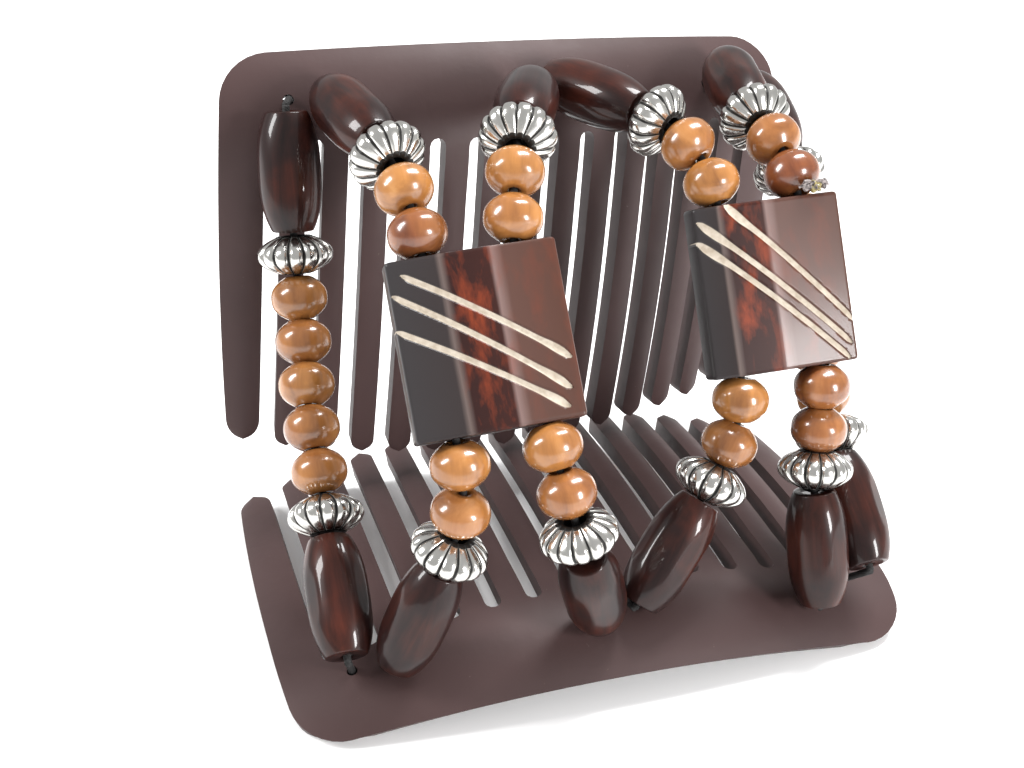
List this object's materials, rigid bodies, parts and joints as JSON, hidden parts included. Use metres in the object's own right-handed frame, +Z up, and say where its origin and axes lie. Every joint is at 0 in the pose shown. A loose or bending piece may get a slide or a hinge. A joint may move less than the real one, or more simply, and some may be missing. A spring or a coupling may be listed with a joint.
{
  "type": "double hair comb",
  "caption": "Double hair comb: two curved combs joined by strings of beads on elastic loops, which stretch round gathered hair and hold it.",
  "frame": {"origin": "middle of the footprint, on the surface the lower comb rests on", "axes": "+X along the combs, left to right seen from the front; -Y is the front, where the spine of the lower comb is; +Z up"},
  "size_m": [0.098, 0.0816, 0.0809],
  "materials": {
    "comb_plastic": "dark brown moulded plastic, satin",
    "dark_wood": "very dark red-brown lacquered wood, glossy",
    "light_wood": "caramel to reddish-brown glossy wood",
    "antique_silver": "antique silver, bright lobes with blackened grooves",
    "horn": "polished dark horn with cream carved lines",
    "elastic": "black covered elastic cord"
  },
  "bodies": {
    "lower_comb": {"lower_comb": "comb_plastic"},
    "bead_web": {"slider_bead_left": "horn", "slider_bead_right": "horn", "elastic_loop_left": "elastic", "elastic_loop_middle": "elastic", "elastic_loop_right": "elastic"},
    "upper_comb": {"upper_comb": "comb_plastic"},
    "long_bead_1_1_body": {"long_bead_1_1": "dark_wood"},
    "long_bead_1_2_body": {"long_bead_1_2": "dark_wood"},
    "long_bead_2_1_body": {"long_bead_2_1": "dark_wood"},
    "long_bead_2_2_body": {"long_bead_2_2": "dark_wood"},
    "long_bead_3_1_body": {"long_bead_3_1": "dark_wood"},
    "long_bead_3_2_body": {"long_bead_3_2": "dark_wood"},
    "long_bead_4_1_body": {"long_bead_4_1": "dark_wood"},
    "long_bead_4_2_body": {"long_bead_4_2": "dark_wood"},
    "long_bead_5_1_body": {"long_bead_5_1": "dark_wood"},
    "long_bead_5_2_body": {"long_bead_5_2": "dark_wood"},
    "long_bead_6_1_body": {"long_bead_6_1": "dark_wood"},
    "long_bead_6_2_body": {"long_bead_6_2": "dark_wood"},
    "pumpkin_bead_1_1_body": {"pumpkin_bead_1_1": "antique_silver"},
    "pumpkin_bead_1_2_body": {"pumpkin_bead_1_2": "antique_silver"},
    "pumpkin_bead_2_1_body": {"pumpkin_bead_2_1": "antique_silver"},
    "pumpkin_bead_2_2_body": {"pumpkin_bead_2_2": "antique_silver"},
    "pumpkin_bead_3_1_body": {"pumpkin_bead_3_1": "antique_silver"},
    "pumpkin_bead_3_2_body": {"pumpkin_bead_3_2": "antique_silver"},
    "pumpkin_bead_4_1_body": {"pumpkin_bead_4_1": "antique_silver"},
    "pumpkin_bead_4_2_body": {"pumpkin_bead_4_2": "antique_silver"},
    "pumpkin_bead_5_1_body": {"pumpkin_bead_5_1": "antique_silver"},
    "pumpkin_bead_5_2_body": {"pumpkin_bead_5_2": "antique_silver"},
    "pumpkin_bead_6_1_body": {"pumpkin_bead_6_1": "antique_silver"},
    "pumpkin_bead_6_2_body": {"pumpkin_bead_6_2": "antique_silver"},
    "round_bead_1_1_body": {"round_bead_1_1": "light_wood"},
    "round_bead_1_2_body": {"round_bead_1_2": "light_wood"},
    "round_bead_1_3_body": {"round_bead_1_3": "light_wood"},
    "round_bead_1_4_body": {"round_bead_1_4": "light_wood"},
    "round_bead_1_5_body": {"round_bead_1_5": "light_wood"},
    "round_bead_2_1_body": {"round_bead_2_1": "light_wood"},
    "round_bead_2_2_body": {"round_bead_2_2": "light_wood"},
    "round_bead_2_3_body": {"round_bead_2_3": "light_wood"},
    "round_bead_2_4_body": {"round_bead_2_4": "light_wood"},
    "round_bead_3_1_body": {"round_bead_3_1": "light_wood"},
    "round_bead_3_2_body": {"round_bead_3_2": "light_wood"},
    "round_bead_3_3_body": {"round_bead_3_3": "light_wood"},
    "round_bead_3_4_body": {"round_bead_3_4": "light_wood"},
    "round_bead_4_1_body": {"round_bead_4_1": "light_wood"},
    "round_bead_4_2_body": {"round_bead_4_2": "light_wood"},
    "round_bead_4_3_body": {"round_bead_4_3": "light_wood"},
    "round_bead_4_4_body": {"round_bead_4_4": "light_wood"},
    "round_bead_5_1_body": {"round_bead_5_1": "light_wood"},
    "round_bead_5_2_body": {"round_bead_5_2": "light_wood"},
    "round_bead_5_3_body": {"round_bead_5_3": "light_wood"},
    "round_bead_5_4_body": {"round_bead_5_4": "light_wood"},
    "round_bead_6_1_body": {"round_bead_6_1": "light_wood"},
    "round_bead_6_2_body": {"round_bead_6_2": "light_wood"},
    "round_bead_6_3_body": {"round_bead_6_3": "light_wood"},
    "round_bead_6_4_body": {"round_bead_6_4": "light_wood"},
    "round_bead_6_5_body": {"round_bead_6_5": "light_wood"}
  },
  "joints": [
    {"name": "lower_fold", "type": "hinge", "parent": "lower_comb", "child": "bead_web", "pos_m": [-0.00074, -0.02848, 0.00795], "axis": [1, 0, 0], "range_deg": [0, 40], "deforming": ["elastic_loop_left", "elastic_loop_middle", "elastic_loop_right"]},
    {"name": "upper_fold", "type": "hinge", "parent": "bead_web", "child": "upper_comb", "pos_m": [0.0023, 0.02683, 0.0706], "axis": [1, 0, 0], "range_deg": [0, 35]},
    {"name": "long_bead_1_1_spin", "type": "hinge", "parent": "bead_web", "child": "long_bead_1_1_body", "pos_m": [-0.03689, 0.01645, 0.0662], "axis": [0.0499, 0.3324, 0.9418], "continuous": true},
    {"name": "long_bead_1_2_spin", "type": "hinge", "parent": "bead_web", "child": "long_bead_1_2_body", "pos_m": [-0.03949, -0.0218, 0.01705], "axis": [0.0388, 0.804, 0.5933], "continuous": true},
    {"name": "long_bead_2_1_spin", "type": "hinge", "parent": "bead_web", "child": "long_bead_2_1_body", "pos_m": [-0.02794, 0.01305, 0.0752], "axis": [-0.2001, 0.9782, 0.0556], "continuous": true},
    {"name": "long_bead_2_2_spin", "type": "hinge", "parent": "bead_web", "child": "long_bead_2_2_body", "pos_m": [-0.02964, -0.03005, 0.0177], "axis": [0.3727, -0.0565, 0.9262], "continuous": true},
    {"name": "long_bead_3_1_spin", "type": "hinge", "parent": "bead_web", "child": "long_bead_3_1_body", "pos_m": [-0.00259, 0.0105, 0.07565], "axis": [0.3939, 0.9154, -0.0832], "continuous": true},
    {"name": "long_bead_3_2_spin", "type": "hinge", "parent": "bead_web", "child": "long_bead_3_2_body", "pos_m": [-0.00499, -0.03285, 0.01965], "axis": [-0.2745, -0.3121, 0.9095], "continuous": true},
    {"name": "long_bead_4_1_spin", "type": "hinge", "parent": "bead_web", "child": "long_bead_4_1_body", "pos_m": [0.01011, 0.01665, 0.07335], "axis": [-0.5217, 0.8527, 0.028], "continuous": true},
    {"name": "long_bead_4_2_spin", "type": "hinge", "parent": "bead_web", "child": "long_bead_4_2_body", "pos_m": [0.00866, -0.0274, 0.0195], "axis": [0.6105, 0.2657, 0.7461], "continuous": true},
    {"name": "long_bead_5_1_spin", "type": "hinge", "parent": "bead_web", "child": "long_bead_5_1_body", "pos_m": [0.03446, 0.02, 0.0713], "axis": [0.1971, 0.9801, 0.0219], "continuous": true},
    {"name": "long_bead_5_2_spin", "type": "hinge", "parent": "bead_web", "child": "long_bead_5_2_body", "pos_m": [0.03156, -0.02945, 0.01735], "axis": [-0.011, 0.3311, 0.9435], "continuous": true},
    {"name": "long_bead_6_1_spin", "type": "hinge", "parent": "bead_web", "child": "long_bead_6_1_body", "pos_m": [0.04091, 0.02085, 0.06485], "axis": [0.0821, 0.9629, 0.2571], "continuous": true},
    {"name": "long_bead_6_2_spin", "type": "hinge", "parent": "bead_web", "child": "long_bead_6_2_body", "pos_m": [0.03951, -0.02445, 0.0192], "axis": [-0.0161, 0.7734, 0.6337], "continuous": true},
    {"name": "pumpkin_bead_1_1_spin", "type": "hinge", "parent": "bead_web", "child": "pumpkin_bead_1_1_body", "pos_m": [-0.03744, 0.0122, 0.05475], "axis": [0.0312, 0.39, 0.9203], "continuous": true},
    {"name": "pumpkin_bead_1_2_spin", "type": "hinge", "parent": "bead_web", "child": "pumpkin_bead_1_2_body", "pos_m": [-0.03899, -0.0122, 0.0246], "axis": [0.0465, 0.7292, 0.6827], "continuous": true},
    {"name": "pumpkin_bead_2_1_spin", "type": "hinge", "parent": "bead_web", "child": "pumpkin_bead_2_1_body", "pos_m": [-0.02559, 0.0011, 0.07385], "axis": [-0.1662, 0.952, 0.2569], "continuous": true},
    {"name": "pumpkin_bead_2_2_spin", "type": "hinge", "parent": "bead_web", "child": "pumpkin_bead_2_2_body", "pos_m": [-0.02534, -0.0308, 0.02875], "axis": [0.33, -0.0825, 0.9404], "continuous": true},
    {"name": "pumpkin_bead_3_1_spin", "type": "hinge", "parent": "bead_web", "child": "pumpkin_bead_3_1_body", "pos_m": [-0.00729, -0.00085, 0.07555], "axis": [0.3369, 0.908, 0.249], "continuous": true},
    {"name": "pumpkin_bead_3_2_spin", "type": "hinge", "parent": "bead_web", "child": "pumpkin_bead_3_2_body", "pos_m": [-0.00829, -0.0354, 0.03125], "axis": [-0.2303, 0.1075, 0.9672], "continuous": true},
    {"name": "pumpkin_bead_4_1_spin", "type": "hinge", "parent": "bead_web", "child": "pumpkin_bead_4_1_body", "pos_m": [0.01631, 0.0064, 0.0726], "axis": [-0.4983, 0.852, 0.1607], "continuous": true},
    {"name": "pumpkin_bead_4_2_spin", "type": "hinge", "parent": "bead_web", "child": "pumpkin_bead_4_2_body", "pos_m": [0.01571, -0.0243, 0.0285], "axis": [0.5486, 0.2494, 0.798], "continuous": true},
    {"name": "pumpkin_bead_5_1_spin", "type": "hinge", "parent": "bead_web", "child": "pumpkin_bead_5_1_body", "pos_m": [0.03271, 0.008, 0.07075], "axis": [-0.0163, 0.9933, 0.114], "continuous": true},
    {"name": "pumpkin_bead_5_2_spin", "type": "hinge", "parent": "bead_web", "child": "pumpkin_bead_5_2_body", "pos_m": [0.03191, -0.0253, 0.02855], "axis": [0.1539, 0.3933, 0.9064], "continuous": true},
    {"name": "pumpkin_bead_6_1_spin", "type": "hinge", "parent": "bead_web", "child": "pumpkin_bead_6_1_body", "pos_m": [0.03981, 0.00885, 0.0606], "axis": [0.0936, 0.8561, 0.5083], "continuous": true},
    {"name": "pumpkin_bead_6_2_spin", "type": "hinge", "parent": "bead_web", "child": "pumpkin_bead_6_2_body", "pos_m": [0.03946, -0.01535, 0.0271], "axis": [0.0362, 0.6883, 0.7245], "continuous": true},
    {"name": "round_bead_1_1_spin", "type": "hinge", "parent": "bead_web", "child": "round_bead_1_1_body", "pos_m": [-0.03764, 0.0093, 0.049], "axis": [0.0308, 0.5075, 0.8611], "continuous": true},
    {"name": "round_bead_1_2_spin", "type": "hinge", "parent": "bead_web", "child": "round_bead_1_2_body", "pos_m": [-0.03799, 0.0057, 0.0436], "axis": [0.0767, 0.5982, 0.7976], "continuous": true},
    {"name": "round_bead_1_3_spin", "type": "hinge", "parent": "bead_web", "child": "round_bead_1_3_body", "pos_m": [-0.03854, 0.00145, 0.0387], "axis": [0.0918, 0.7041, 0.7041], "continuous": true},
    {"name": "round_bead_1_4_spin", "type": "hinge", "parent": "bead_web", "child": "round_bead_1_4_body", "pos_m": [-0.03889, -0.00315, 0.03405], "axis": [0.0152, 0.6994, 0.7146], "continuous": true},
    {"name": "round_bead_1_5_spin", "type": "hinge", "parent": "bead_web", "child": "round_bead_1_5_body", "pos_m": [-0.03889, -0.00765, 0.02925], "axis": [-0.0152, 0.668, 0.744], "continuous": true},
    {"name": "round_bead_2_1_spin", "type": "hinge", "parent": "bead_web", "child": "round_bead_2_1_body", "pos_m": [-0.02474, -0.00505, 0.07135], "axis": [-0.0873, 0.8729, 0.4801], "continuous": true},
    {"name": "round_bead_2_2_spin", "type": "hinge", "parent": "bead_web", "child": "round_bead_2_2_body", "pos_m": [-0.02433, -0.01073, 0.06726], "axis": [-0.0289, 0.7392, 0.6728], "continuous": true},
    {"name": "round_bead_2_3_spin", "type": "hinge", "parent": "bead_web", "child": "round_bead_2_3_body", "pos_m": [-0.02342, -0.02934, 0.04156], "axis": [-0.0501, 0.3639, 0.9301], "continuous": true},
    {"name": "round_bead_2_4_spin", "type": "hinge", "parent": "bead_web", "child": "round_bead_2_4_body", "pos_m": [-0.02379, -0.03085, 0.0349], "axis": [0.1641, 0.0597, 0.9846], "continuous": true},
    {"name": "round_bead_3_1_spin", "type": "hinge", "parent": "bead_web", "child": "round_bead_3_1_body", "pos_m": [-0.00939, -0.0066, 0.0729], "axis": [0.2843, 0.7931, 0.5387], "continuous": true},
    {"name": "round_bead_3_2_spin", "type": "hinge", "parent": "bead_web", "child": "round_bead_3_2_body", "pos_m": [-0.01111, -0.01166, 0.06839], "axis": [0.2077, 0.6512, 0.73], "continuous": true},
    {"name": "round_bead_3_3_spin", "type": "hinge", "parent": "bead_web", "child": "round_bead_3_3_body", "pos_m": [-0.0108, -0.03057, 0.04309], "axis": [-0.1371, 0.5678, 0.8117], "continuous": true},
    {"name": "round_bead_3_4_spin", "type": "hinge", "parent": "bead_web", "child": "round_bead_3_4_body", "pos_m": [-0.00969, -0.03375, 0.0374], "axis": [-0.195, 0.39, 0.8999], "continuous": true},
    {"name": "round_bead_4_1_spin", "type": "hinge", "parent": "bead_web", "child": "round_bead_4_1_body", "pos_m": [0.01916, 0.0009, 0.0708], "axis": [-0.3833, 0.8403, 0.3833], "continuous": true},
    {"name": "round_bead_4_2_spin", "type": "hinge", "parent": "bead_web", "child": "round_bead_4_2_body", "pos_m": [0.02096, -0.00445, 0.0668], "axis": [-0.1346, 0.6732, 0.7271], "continuous": true},
    {"name": "round_bead_4_3_spin", "type": "hinge", "parent": "bead_web", "child": "round_bead_4_3_body", "pos_m": [0.02102, -0.02064, 0.03956], "axis": [0.1884, 0.3772, 0.9067], "continuous": true},
    {"name": "round_bead_4_4_spin", "type": "hinge", "parent": "bead_web", "child": "round_bead_4_4_body", "pos_m": [0.01886, -0.02275, 0.03365], "axis": [0.464, 0.2474, 0.8506], "continuous": true},
    {"name": "round_bead_5_1_spin", "type": "hinge", "parent": "bead_web", "child": "round_bead_5_1_body", "pos_m": [0.03311, 0.0017, 0.06965], "axis": [-0.1044, 0.9691, 0.2236], "continuous": true},
    {"name": "round_bead_5_2_spin", "type": "hinge", "parent": "bead_web", "child": "round_bead_5_2_body", "pos_m": [0.03365, -0.00447, 0.06669], "axis": [-0.0527, 0.7956, 0.6036], "continuous": true},
    {"name": "round_bead_5_3_spin", "type": "hinge", "parent": "bead_web", "child": "round_bead_5_3_body", "pos_m": [0.03371, -0.021, 0.04005], "axis": [0.1057, 0.377, 0.9202], "continuous": true},
    {"name": "round_bead_5_4_spin", "type": "hinge", "parent": "bead_web", "child": "round_bead_5_4_body", "pos_m": [0.03286, -0.0232, 0.0341], "axis": [0.1617, 0.3072, 0.9378], "continuous": true},
    {"name": "round_bead_6_1_spin", "type": "hinge", "parent": "bead_web", "child": "round_bead_6_1_body", "pos_m": [0.03966, 0.0033, 0.0558], "axis": [-0.0535, 0.6287, 0.7758], "continuous": true},
    {"name": "round_bead_6_2_spin", "type": "hinge", "parent": "bead_web", "child": "round_bead_6_2_body", "pos_m": [0.04001, -0.0005, 0.0497], "axis": [-0.0427, 0.4124, 0.91], "continuous": true},
    {"name": "round_bead_6_3_spin", "type": "hinge", "parent": "bead_web", "child": "round_bead_6_3_body", "pos_m": [0.04001, -0.0034, 0.0433], "axis": [0.0427, 0.4124, 0.91], "continuous": true},
    {"name": "round_bead_6_4_spin", "type": "hinge", "parent": "bead_web", "child": "round_bead_6_4_body", "pos_m": [0.03971, -0.0068, 0.0371], "axis": [0.0419, 0.5445, 0.8377], "continuous": true},
    {"name": "round_bead_6_5_spin", "type": "hinge", "parent": "bead_web", "child": "round_bead_6_5_body", "pos_m": [0.03956, -0.0111, 0.0316], "axis": [0, 0.6849, 0.7286], "continuous": true}
  ]
}
